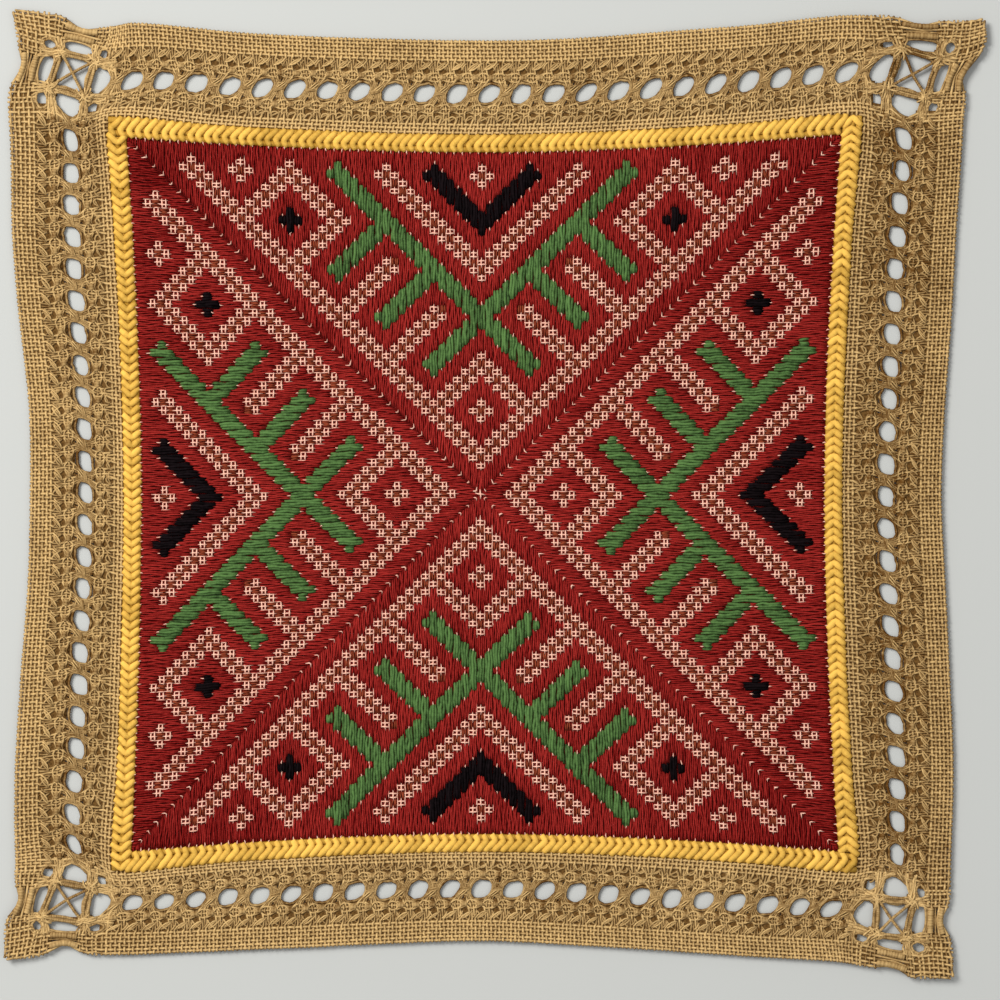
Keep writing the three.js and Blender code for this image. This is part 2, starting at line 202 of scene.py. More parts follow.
def pullKernel(a, b):
    apart = (a[:, None, 0] - b[None, :, 0]) ** 2 + (a[:, None, 1] - b[None, :, 1]) ** 2
    return apart * np.log(apart + 1e-9)


def findPull():
    rows = []
    for across, down, *places in cornerPlaces:
        for (signU, signV), (x, y) in zip(cornerSigns, places):
            rows.append((signU * bandMiddle[across], signV * bandMiddle[down], x, y))
    for side in sideLines.values():
        for run in np.linspace(-pull["end"], pull["end"], pull["stops"]):
            share = (run + pull["end"]) / (2 * pull["end"])
            along = side["from"] + (side["to"] - side["from"]) * share
            spots = {}
            for line, depth in (("openings", bandMiddle["gap"]), ("rim", cloth["rimThreads"])):
                spots[line] = (side["sign"] * depth, run) if side["upright"] else (run, side["sign"] * depth)
                near, far = basePlan(*spots["openings"]), basePlan(*spots[line])
                axis = 1 if side["upright"] else 0
                at = along + float(far[axis] - near[axis]) * pull["follow"]
                across = float(readTable(side[line], at))
                rows.append((*spots[line], across, at) if side["upright"] else (*spots[line], at, across))
    still = pull["still"]
    for run in np.linspace(-still, still, pull["stops"]):
        for u, v in ((run, still), (run, -still), (still, run), (-still, run)):
            rows.append((u, v, *map(float, basePlan(u, v))))
    table = np.unique(np.array(rows, float), axis=0)
    places = table[:, :2]
    baseX, baseY = basePlan(places[:, 0], places[:, 1])
    wanted = np.stack([table[:, 2] - baseX, table[:, 3] - baseY], axis=1)
    count = len(places)
    plane = np.hstack([np.ones((count, 1)), places])
    system = np.zeros((count + 3, count + 3))
    system[:count, :count] = pullKernel(places, places) + np.eye(count) * pull["give"]
    system[:count, count:] = plane
    system[count:, :count] = plane.T
    return places, np.linalg.solve(system, np.vstack([wanted, np.zeros((3, 2))]))


pullPlaces, pullWeights = findPull()


def planOf(u, v):
    u, v = np.asarray(u, float), np.asarray(v, float)
    x, y = basePlan(u, v)
    share = np.clip((np.maximum(np.abs(u), np.abs(v)) - pull["from"]) / pull["over"], 0, 1)
    share = share * share * (3 - 2 * share)
    where = np.flatnonzero(share > 0)
    count = len(pullPlaces)
    for start in range(0, len(where), pull["part"]):
        part = where[start:start + pull["part"]]
        spots = np.stack([u[part], v[part]], axis=1)
        moved = pullKernel(spots, pullPlaces) @ pullWeights[:count]
        moved += pullWeights[count] + spots @ pullWeights[count + 1:]
        x[part] += moved[:, 0] * share[part]
        y[part] += moved[:, 1] * share[part]
    return x, y


def liftAt(x, y):
    lifts = []
    for side, (start, whole) in liftReach.items():
        value, along = (x, y) if side in ("left", "right") else (y, x)
        lifts.append(np.clip((value - start) / (whole - start), 0, 1) ** 2 * readTable(edgeLift[side], along))
    return 0.001 * np.maximum.reduce(lifts)


def clothPoints(u, v, height):
    x, y = planOf(u, v)
    right, up = x - cloth["middle"][0], cloth["middle"][1] - y
    return np.stack([right * cloth["unit"], up * cloth["unit"], height + liftAt(x, y)], axis=1)


# The four sides are one side turned about the middle.
turns = {
    "top": lambda a, b: (a, b),
    "right": lambda a, b: (b, -a),
    "bottom": lambda a, b: (-a, -b),
    "left": lambda a, b: (-b, a),
}


# One yarn of a side for yarnMesh, from its places along and across that side.
def strand(turn, a, b, height, radius, tone):
    return np.stack(np.broadcast_arrays(*turn(a, b), height), axis=1), radius, tone


def putMesh(name, places, loops, starts):
    mesh = bpy.data.meshes.new(name)
    mesh.vertices.add(len(places))
    mesh.vertices.foreach_set("co", places.astype(np.float32).ravel())
    mesh.loops.add(len(loops))
    mesh.loops.foreach_set("vertex_index", loops.astype(np.int32))
    mesh.polygons.add(len(starts))
    mesh.polygons.foreach_set("loop_start", starts.astype(np.int32))
    mesh.polygons.foreach_set("use_smooth", np.ones(len(starts), bool))
    mesh.update(calc_edges=True)
    piece = bpy.data.objects.new(name, mesh)
    bpy.context.scene.collection.objects.link(piece)
    return piece


# One mesh of many yarns. Each run is (points as u, v, height in mm; radius in mm; tone 0 to 1).
def yarnMesh(name, runs, sides, flat=1.0):
    counts = np.array([len(run[0]) for run in runs])
    points = np.concatenate([run[0] for run in runs])
    radius = np.concatenate([np.broadcast_to(run[1], len(run[0])) for run in runs]) * 0.001
    tone = np.concatenate([np.broadcast_to(run[2], len(run[0])) for run in runs])
    chance = np.repeat(luck.random(len(runs)), counts)
    firsts = np.cumsum(counts) - counts
    lasts = firsts + counts - 1
    places = clothPoints(points[:, 0], points[:, 1], points[:, 2] * 0.001)
    order = np.arange(len(places))
    before = np.maximum(order - 1, np.repeat(firsts, counts))
    after = np.minimum(order + 1, np.repeat(lasts, counts))
    ahead = places[after] - places[before]
    ahead /= np.maximum(np.linalg.norm(ahead, axis=1, keepdims=True), 1e-9)
    across = np.stack([-ahead[:, 1], ahead[:, 0], np.zeros(len(ahead))], axis=1)
    across /= np.maximum(np.linalg.norm(across, axis=1, keepdims=True), 1e-9)
    upward = np.cross(ahead, across)
    steps = np.linalg.norm(places - places[before], axis=1) * 1000
    total = np.cumsum(steps)
    along = total - np.repeat(total[firsts], counts)
    angles = math.pi / 2 + 2 * math.pi * np.arange(sides) / sides
    rings = (places[:, None, :]
             + radius[:, None, None] * np.cos(angles)[None, :, None] * across[:, None, :]
             + radius[:, None, None] * flat * np.sin(angles)[None, :, None] * upward[:, None, :])
    rings[:, :, 2] = np.maximum(rings[:, :, 2], cloth["rest"])
    inner = np.setdiff1d(order, lasts)
    turn = np.arange(sides)
    turned = (turn + 1) % sides
    base = inner[:, None] * sides
    corners = [base + turn, base + turned, base + sides + turned, base + sides + turn]
    quads = np.stack(corners, axis=2).reshape(-1, 4)
    startCaps = firsts[:, None] * sides + turn[::-1]
    endCaps = lasts[:, None] * sides + turn
    loops = np.concatenate([quads.ravel(), startCaps.ravel(), endCaps.ravel()])
    starts = np.concatenate([np.arange(len(quads)) * 4,
                             len(quads) * 4 + np.arange(2 * len(runs)) * sides])
    piece = putMesh(name, rings.reshape(-1, 3), loops, starts)
    # How high each ring point sits round the yarn, for the painted light on its top and painted shade on its
    # sides.
    top = np.tile(np.sin(angles), len(places))
    for attribute, values in (("yarnAlong", np.repeat(along, sides)), ("yarnTone", np.repeat(tone, sides)),
                              ("yarnChance", np.repeat(chance, sides)), ("yarnTop", top)):
        layer = piece.data.attributes.new(attribute, "FLOAT", "POINT")
        layer.data.foreach_set("value", values.astype(np.float32))
    return piece


def triangleCount(piece):
    return sum(len(polygon.vertices) - 2 for polygon in piece.data.polygons)


print("stage: plan ready")

# Materials
# groove: painted light and shade, how much lighter each yarn's top and darker its sides are.
lookParts = ("dark", "light", "rough", "shine", "streak", "fleck", "groove")
yarnLooks = {
    "linenYarn": ((0.125, 0.053, 0.009), (0.72, 0.485, 0.205), 0.85, 0.1, 0.4, 0.35, 0.35),
    "redYarn": ((0.15, 0.002, 0.0015), (0.40, 0.027, 0.021), 0.8, 0.1, 0.5, 0.5, 0.12),
    "rustYarn": ((0.11, 0.012, 0.005), (0.37, 0.078, 0.032), 0.85, 0.1, 0.5, 0.5, 0.15),
    "greenYarn": ((0.008, 0.020, 0.004), (0.100, 0.202, 0.056), 0.8, 0.1, 0.5, 0.45, 0.45),
    "blackYarn": ((0.001, 0.0006, 0.0007), (0.008, 0.0045, 0.0055), 0.8, 0.04, 0.7, 0.5, 0.3),
    "yellowYarn": ((0.26, 0.12, 0.005), (0.93, 0.555, 0.105), 0.85, 0.1, 0.3, 0.3, 0.5),
    "pinkLinen": ((0.70, 0.25, 0.16), (1.0, 0.60, 0.46), 0.8, 0.1, 0.3, 0.2, 0.15),
}
fibre = {"turns": 0.8, "apart": 40.0, "fine": 2600.0, "dye": 55.0, "streak": 2.2, "fleck": 1.6, "slow": 0.5,
         "own": 0.25, "bump": (0.35, 0.0002)}
# Painted shade: the ground sheet is coloured dark, brown where bare and dark red where the darning covers it,
# for the shadow in the gaps between the threads above.
groundShadeLook = {"bareDark": (0.075, 0.032, 0.006), "bareLight": (0.16, 0.08, 0.02),
              "coveredDark": (0.15, 0.005, 0.004), "coveredLight": (0.22, 0.012, 0.009),
              "rough": 0.9, "shine": 0.15, "bump": (0.6, 0.0003)}


def node(tree, kind, **settings):
    made = tree.nodes.new(kind)
    for key, value in settings.items():
        setattr(made, key, value)
    return made


# A socket takes a number, a colour or what another node gives.
def feed(tree, socket, value):
    if isinstance(value, (int, float)):
        socket.default_value = value
    elif isinstance(value, tuple):
        socket.default_value = (*value, 1)
    else:
        tree.links.new(value, socket)


def mathNode(tree, operation, *values):
    made = node(tree, "ShaderNodeMath", operation=operation)
    for socket, value in zip(made.inputs, values):
        feed(tree, socket, value)
    return made.outputs[0]


def mixColours(tree, factor, a, b):
    made = node(tree, "ShaderNodeMix", data_type="RGBA")
    for index, value in ((0, factor), (6, a), (7, b)):
        feed(tree, made.inputs[index], value)
    return made.outputs[2]


def noiseNode(tree, scale, detail, vector):
    made = node(tree, "ShaderNodeTexNoise")
    for name, value in (("Scale", scale), ("Detail", detail), ("Vector", vector)):
        feed(tree, made.inputs[name], value)
    return made.outputs["Fac"]


def addBump(tree, shader, height, look):
    bump = node(tree, "ShaderNodeBump")
    for name, value in (("Strength", look[0]), ("Distance", look[1]), ("Height", height)):
        feed(tree, bump.inputs[name], value)
    tree.links.new(bump.outputs["Normal"], shader.inputs["Normal"])


def attributeNode(tree, name):
    return node(tree, "ShaderNodeAttribute", attribute_name=name).outputs["Fac"]


def newMaterial(name, rough, shine):
    material = bpy.data.materials.new(name)
    material.use_nodes = True
    shader = material.node_tree.nodes["Principled BSDF"]
    shader.inputs["Roughness"].default_value = rough
    shader.inputs["Specular IOR Level"].default_value = shine
    return material, material.node_tree, shader


# Fine twisted fibres along a yarn, with a slow change of dye from place to place, and painted light and shade:
# each yarn lighter on its top and darker on its sides.
def makeFibreGroup():
    group = bpy.data.node_groups.new("spunFibre", "ShaderNodeTree")
    for name, start in (("Along", 0.0), ("Chance", 0.0), ("Tone", 0.5), ("Top", 0.0), ("Streak", 0.5),
                        ("Fleck", 0.3), ("Groove", 0.3)):
        socket = group.interface.new_socket(name=name, in_out="INPUT", socket_type="NodeSocketFloat")
        socket.default_value = start
    for name in ("Shade", "Height"):
        group.interface.new_socket(name=name, in_out="OUTPUT", socket_type="NodeSocketFloat")

    def times(a, b):
        return mathNode(group, "MULTIPLY", a, b)

    def swing(value, weight):
        return times(mathNode(group, "SUBTRACT", value, 0.5), weight)

    given, leave = node(group, "NodeGroupInput").outputs, node(group, "NodeGroupOutput")
    place = node(group, "ShaderNodeTexCoord").outputs["Object"]
    twist = node(group, "ShaderNodeCombineXYZ")
    group.links.new(times(given["Chance"], fibre["apart"]), twist.inputs[0])
    group.links.new(times(given["Along"], fibre["turns"]), twist.inputs[1])
    fine = noiseNode(group, fibre["fine"], 3.0, place)
    streak = swing(noiseNode(group, 1.0, 2.0, twist.outputs[0]), given["Streak"])
    slow = swing(noiseNode(group, fibre["dye"], 3.0, place), fibre["slow"])
    total = given["Tone"]
    # The last part is painted light and shade: Top times Groove makes a yarn's top lighter and its sides
    # darker.
    for part in (times(streak, fibre["streak"]), times(swing(fine, given["Fleck"]), fibre["fleck"]),
                 mathNode(group, "ADD", slow, swing(given["Chance"], fibre["own"])),
                 times(given["Top"], given["Groove"])):
        total = mathNode(group, "ADD", total, part)
    clamp = node(group, "ShaderNodeClamp")
    group.links.new(total, clamp.inputs[0])
    group.links.new(clamp.outputs[0], leave.inputs["Shade"])
    group.links.new(fine, leave.inputs["Height"])
    return group


fibreGroup = makeFibreGroup()


def makeYarn(name, look):
    material, tree, shader = newMaterial(name, look["rough"], look["shine"])
    spun = node(tree, "ShaderNodeGroup", node_tree=fibreGroup)
    for part in ("Along", "Chance", "Tone", "Top"):
        tree.links.new(attributeNode(tree, "yarn" + part), spun.inputs[part])
    for part in ("Streak", "Fleck", "Groove"):
        spun.inputs[part].default_value = look[part.lower()]
    colour = mixColours(tree, spun.outputs["Shade"], look["dark"], look["light"])
    tree.links.new(colour, shader.inputs["Base Color"])
    addBump(tree, shader, spun.outputs["Height"], fibre["bump"])
    return material


yarns = {name: makeYarn(name, dict(zip(lookParts, look))) for name, look in yarnLooks.items()}


# The linen under the yarns: a plain weave drawn from its own thread counts. Its colours are painted shade: dark
# brown where bare and dark red under the darning, so the gaps between the threads above read as shadow, and the
# weave is painted darker between its own threads.
def makeShadeGround():
    material, tree, shader = newMaterial("shadeGroundLinen", groundShadeLook["rough"], groundShadeLook["shine"])
    split = node(tree, "ShaderNodeSeparateXYZ")
    tree.links.new(node(tree, "ShaderNodeUVMap", uv_map="threads").outputs["UV"], split.inputs[0])
    waves = [mathNode(tree, "ABSOLUTE", mathNode(tree, "SINE", mathNode(tree, "MULTIPLY", socket, math.pi)))
             for socket in (split.outputs[0], split.outputs[1])]
    height = mathNode(tree, "MAXIMUM", *waves)
    bare, covered = (mixColours(tree, height, groundShadeLook[part + "Dark"], groundShadeLook[part + "Light"])
                     for part in ("bare", "covered"))
    colour = mixColours(tree, attributeNode(tree, "worked"), bare, covered)
    tree.links.new(colour, shader.inputs["Base Color"])
    addBump(tree, shader, height, groundShadeLook["bump"])
    return material


# The cloth itself: a thin sheet in the middle of the weave, open where threads were drawn out.
sheet = {"thickness": 0.00012, "height": 0.00048, "tieHalf": 0.5, "step": 4.0, "firstTie": -92, "ties": 24,
         "covered": 88.5}
# Where each stretch of the border begins, counted from the middle, and the sheet's own end.
zoneStarts = {"innerSlot": 95.1, "inner": 96.8, "gap": 99.7, "outer": 104.9, "slot": 108.3, "edge": 110.4,
              "end": 115.6}
tiePlaces = [sheet["firstTie"] + tiePitch * i for i in range(sheet["ties"])]


def zoneOf(place):
    passed = [name for name, start in zoneStarts.items() if start < abs(place)]
    return passed[-1] if passed else "field"


def sheetKept(a, b):
    zones = (zoneOf(a), zoneOf(b))
    if "gap" in zones:
        other = b if zones[0] == "gap" else a
        return zoneOf(other) == "field" and min(abs(other - tie) for tie in tiePlaces) < sheet["tieHalf"]
    if "field" in zones or "edge" in zones:
        return True
    return "slot" not in zones and "innerSlot" not in zones


def makeGround():
    starts = list(zoneStarts.values())
    ties = [tie + side * sheet["tieHalf"] for tie in tiePlaces for side in (-1, 1)]
    lines = starts + [-start for start in starts] + ties
    lines = np.unique(lines + list(np.arange(sheet["firstTie"], 92.1, sheet["step"])))
    count = len(lines)
    middles = (lines[1:] + lines[:-1]) / 2
    u, v = np.meshgrid(lines, lines)
    places = clothPoints(u.ravel(), v.ravel(), sheet["height"])
    quads = [(j * count + i, j * count + i + 1, (j + 1) * count + i + 1, (j + 1) * count + i)
             for j, b in enumerate(middles) for i, a in enumerate(middles) if sheetKept(a, b)]
    used = np.unique(np.array(quads))
    fresh = np.full(count * count, -1)
    fresh[used] = np.arange(len(used))
    loops = fresh[np.array(quads).ravel()]
    piece = putMesh("linen_cloth", places[used], loops, np.arange(len(quads)) * 4)
    threads = np.stack([u.ravel(), v.ravel()], axis=1)[used]
    layer = piece.data.uv_layers.new(name="threads")
    layer.data.foreach_set("uv", threads[loops].astype(np.float32).ravel())
    inside = (np.abs(threads).max(axis=1) < sheet["covered"]).astype(np.float32)
    piece.data.attributes.new("worked", "FLOAT", "POINT").data.foreach_set("value", inside)
    piece.data.materials.append(makeShadeGround())
    solidify = piece.modifiers.new("thickness", "SOLIDIFY")
    solidify.thickness = sheet["thickness"]
    solidify.offset = 0
    bpy.ops.object.select_all(action="DESELECT")
    bpy.context.view_layer.objects.active = piece
    piece.select_set(True)
    bpy.ops.object.modifier_apply(modifier="thickness")
    return piece


ground = makeGround()
print("stage: ground sheet", triangleCount(ground))

# The linen threads that cross a side: the thread count from the middle, how close a group of four is drawn
# together, how far the group stands from its tie, its lean, and 1 where it is woven with another thread.
threadPath = [
    (91.0, 1.0, 1.0, 0.0, 0),
    (92.4, 1.0, 1.0, 0.0, 1),
    (93.4, 1.0, 1.0, 0.0, 1),
    (94.4, 0.95, 1.0, 0.0, 1),
    (95.8, 0.62, 1.0, -0.1, 0),
    (97.2, 0.60, 1.0, -0.3, 1),
    (98.25, 0.72, 1.0, -0.4, 1),
    (99.3, 0.62, 0.88, -0.5, 1),
    (100.1, 0.48, 0.66, -0.45, 0),
    (101.0, 0.40, 0.43, -0.3, 0),
    (102.3, 0.36, 0.36, 0.0, 0),
    (103.6, 0.40, 0.43, 0.3, 0),
    (104.5, 0.48, 0.66, 0.45, 0),
    (105.4, 0.62, 0.88, 0.5, 1),
    (106.45, 0.72, 1.0, 0.4, 1),
    (107.5, 0.60, 1.0, 0.3, 1),
    (109.0, 0.52, 1.0, 0.15, 0),
    (110.2, 0.7, 1.0, 0.0, 0),
    (111.1, 0.96, 1.0, 0.0, 1),
    (112.1, 1.0, 1.0, 0.0, 1),
    (113.1, 1.0, 1.0, 0.0, 1),
    (114.1, 1.0, 1.0, 0.0, 1),
    (115.1, 1.0, 1.0, 0.0, 1),
    (116.0, 1.0, 1.0, 0.0, 1),
    (116.45, 1.0, 1.0, 0.0, 0),
]
linen = {"radius": 0.38, "fine": 0.33, "rise": 0.26, "mid": 0.62, "sides": 4, "wander": 0.07, "jitter": 0.03,
         # overUnderShade: painted light and shade, a thread lighter where it goes over and darker where it goes
         # under
         "flat": 0.85, "shade": 0.44, "overUnderShade": 0.28, "bare": 0.35, "mottle": 0.1, "uneven": 0.06,
         # openShade: painted shade on the threads of the openwork
         "openShade": 0.17, "sideLift": 0.05, "lengthLift": 0.04}
# How close the threads of a band are drawn together where they pass the slots and the gap at a corner.
pinches = {
    "hem": {"innerSlot": 0.8, "gap": 0.35, "slot": 0.8},
    "inner": {"innerSlot": 0.5, "gap": 0.22, "slot": 0.45},
    "outer": {"innerSlot": 0.5, "gap": 0.22, "slot": 0.45},
    "edge": {"innerSlot": 0.85, "gap": 0.55, "slot": 0.85},
}
cornerSpread = {"hem": 0.9, "inner": 0.75, "outer": 0.75, "edge": 1.0}
# How the threads along a side bulge in a group, close up between groups, and stop at the rim.
lengthLook = {"bulge": 0.16, "between": 0.6, "end": 116.45, "rounded": 0.9, "from": 111, "over": 5,
              "hemPull": 1.3}


def groupOf(s):
    return groupPitch * np.floor(s / groupPitch) + groupPitch / 2


def tieOf(s):
    return tiePitch * np.floor(s / tiePitch) + tiePitch / 2


# Where the thread s of a side lies at depth b of the border.
def drawnAside(s, squeeze, apart, lean):
    group, tie = groupOf(s), tieOf(s)
    return tie + (group - tie) * apart + (s - group) * squeeze + lean


def crossingSign(first, second):
    return 1 if (math.floor(first) + math.floor(second)) % 2 == 0 else -1


# One linen thread. Its signs say where it goes over (1), under (-1) or past nothing (0). Where it goes over its
# tone is painted lighter, where it goes under darker, and in the openwork it gets painted shade.
def linenThread(turn, a, b, signs, thin, lift):
    radius = np.where(thin, linen["fine"], linen["radius"]) * (1 + shake(linen["uneven"], len(signs)))
    tone = np.where(signs == 0, linen["bare"], linen["shade"] + linen["overUnderShade"] * signs)
    tone = tone + shake(linen["mottle"], len(signs)) - linen["openShade"] * thin
    height = linen["mid"] + linen["rise"] * signs + lift * (signs == 0)
    return strand(turn, a, b, height, radius, tone)


def sideThreads(turn):
    runs = []
    whole = np.array(threadPath)
    for s in np.arange(-95.5, 96, 1.0):
        table = whole if abs(s) < 92 else whole[(whole[:, 0] > 97) & (whole[:, 0] < 108)]
        depth, squeeze, apart, lean, weave = table.T
        signs = np.array([crossingSign(s, b) for b in depth]) * weave
        a = drawnAside(s, squeeze, apart, lean) + shake(linen["wander"], len(depth)) * weave
        b = depth + shake(linen["jitter"], len(depth))
        runs.append(linenThread(turn, a, b, signs, (depth > 95) & (depth < 110.5), linen["sideLift"]))
    return runs


# A thread that runs the whole length of a side, rim to rim, in one band of threads.
def lengthThread(turn, band, depth):
    middle = sum(bands[band]) / len(bands[band])
    thin = band in ("inner", "outer")
    row = min(threadPath, key=lambda entry: abs(entry[0] - depth))
    outward = [line for lines in bands.values() for line in lines]
    path = []
    previous = None
    for s in [-line for line in reversed(outward)] + list(np.arange(-91.5, 92, 1.0)) + outward:
        if abs(s) < 95:
            at, spread = drawnAside(s, *row[1:4]), 1.0
            if thin:
                spread += lengthLook["bulge"] * (1 - min(1, abs(s - groupOf(s))))
                if abs(previous) < 95 and groupOf(previous) != groupOf(s):
                    path.append((np.floor(s / groupPitch) * groupPitch + row[3], lengthLook["between"], 0))
        else:
            at, spread = s, cornerSpread[band]
            if previous is not None:
                low, high = sorted((abs(previous), abs(s)))
                for name, pinch in pinches[band].items():
                    if low < bandMiddle[name] < high:
                        path.append((math.copysign(bandMiddle[name], s), pinch, 0))
        path.append((at, spread, -crossingSign(s, depth)))
        previous = s
    rounded = max(0.0, (depth - lengthLook["from"]) / lengthLook["over"]) ** 2
    end = lengthLook["end"] - lengthLook["rounded"] * rounded
    path = [entry for entry in sorted(path, key=lambda entry: entry[0]) if abs(entry[0]) < end - 0.2]
    a, spread, signs = np.array([(-end, 1.0, 0)] + path + [(end, 1.0, 0)]).T
    b = middle + (depth - middle) * spread + shake(linen["jitter"], len(a))
    if band == "hem":
        b = b - lengthLook["hemPull"] * (np.abs(np.abs(a) - bandMiddle["gap"]) < 0.1)
    return linenThread(turn, a, b, signs, thin, linen["lengthLift"])


def borderSide(turn):
    lengthwise = [(band, depth) for band, depths in bands.items() for depth in depths]
    return sideThreads(turn) + [lengthThread(turn, band, depth) for band, depth in lengthwise]


# The wrapped bars. Their height is above the middle of the weave.
barLooks = {
    "group": {"radius": 1.2, "height": -0.05, "tone": 0.42, "wraps": 2, "half": 0.85},
    "tie": {"radius": 0.8, "height": -0.15, "tone": 0.3, "wraps": 2, "half": 0.5, "inward": 2.0},
    "ring": {"radius": 0.5, "height": 0.25, "tone": 0.24, "wraps": 13},
    "arm": {"radius": 0.52, "height": 0.3, "tone": 0.24, "wraps": 13},
    "edge": {"radius": 1.0, "height": 0.1, "tone": 0.38, "wraps": 10},
}
# groove is how much thinner the yarn is between wraps; shade is painted shade in those grooves.
wrapping = {"groove": 0.13, "uneven": 0.03, "ends": 0.7, "shade": 0.28}


def wrappedBar(turn, look, start, end, bow=0.0):
    steps = look["wraps"] * 2 + 1
    share = np.linspace(0, 1, steps)
    runA, runB = end[0] - start[0], end[1] - start[1]
    aside = bow * np.sin(share * math.pi).clip(0) ** 0.4 / math.hypot(runA, runB)
    groove = np.arange(steps) % 2 == 0
    ribs = look["radius"] * (1 - wrapping["groove"] * groove + shake(wrapping["uneven"], steps))
    ribs[[0, -1]] = look["radius"] * wrapping["ends"]
    # The grooves between wraps are painted darker as shade.
    return strand(turn, start[0] + runA * share - runB * aside, start[1] + runB * share + runA * aside,
                  linen["mid"] + look["height"], ribs, look["tone"] - wrapping["shade"] * groove)


def squaredOval(angle, power):
    return (np.abs(np.cos(angle)) ** power + np.abs(np.sin(angle)) ** power) ** (-1 / power)


rim = {"radius": 0.44, "points": 20, "across": 2.85, "tall": 2.75, "narrow": 2.3, "wide": 3.0, "lean": 0.3,
       "square": 2.3, "jitter": 0.09, "height": -0.05}


# The overcast rim of one large opening: a closed oval that leans along the side.
def openingRim(turn, along, upright):
    points = rim["points"]
    angle = np.linspace(0, 2 * math.pi, points) + luck.random()
    halfAlong, halfAcross = (rim["wide"], rim["narrow"]) if upright else (rim["across"], rim["tall"])
    shape = squaredOval(angle, rim["square"])
    b = halfAcross * luck.uniform(0.93, 1.05) * shape * np.sin(angle) + shake(rim["jitter"], points)
    a = halfAlong * luck.uniform(0.93, 1.05) * shape * np.cos(angle) + shake(rim["jitter"], points)
    a = a + luck.uniform(0.6, 1.3) * rim["lean"] * b
    a[-1], b[-1] = a[0], b[0]
    tone = 0.3 - 0.2 * (np.arange(points) % 2) + shake(0.08, points)
    return strand(turn, along + a, bandMiddle["gap"] + b, linen["mid"] + rim["height"], rim["radius"], tone)


# The short yarns of the openwork: "across" is how far each lies from the middle of the cloth, and "height" is
# above the middle of the weave.
openYarns = {
    "tie": {"shifts": (-0.3, 0.05, 0.35), "half": 1.45, "height": -0.15, "arch": 0.5, "radius": 0.27},
    "tail": {"shifts": (-0.26, 0.26), "across": 102.5, "height": 0.35, "arch": 0.25, "radius": 0.17,
             "tone": 0.9},
    "knot": {"places": ((100.6, -0.3), (104.0, 0.3)), "half": 0.9, "height": 0.0, "arch": 0.3,
             "radius": 0.24},
    "rosette": {"points": 11, "along": 1.35, "across": 1.2, "jitter": 0.07, "height": 0.3, "radius": 0.25,
                "tone": 0.6, "ridge": 0.25},
    "loop": {"across": 108.6, "height": 0.2, "radius": 0.27, "tone": 0.5},
    "slant": {"height": 0.05, "arch": 0.25, "bend": 0.35},
    "hook": {"along": (-1.3, -0.2, 0.9, 1.6), "across": (108.4, 108.7, 109.5, 110.4), "height": 0.3,
             "radius": 0.26, "tone": 0.75},
    "curl": {"across": 95.5, "height": 0.15, "radius": 0.3, "tone": 0.5},
    "inner": {"across": 95.2, "height": 0.05, "radius": 0.34, "tone": 0.4},
}
slantPaths = [
    # from a, from b, to a, to b, radius
    (-1.7, 108.3, 1.1, 110.3, 0.3),
    (-0.9, 110.5, 1.3, 108.2, 0.26),
    (0.9, 108.4, 2.2, 110.2, 0.26),
]


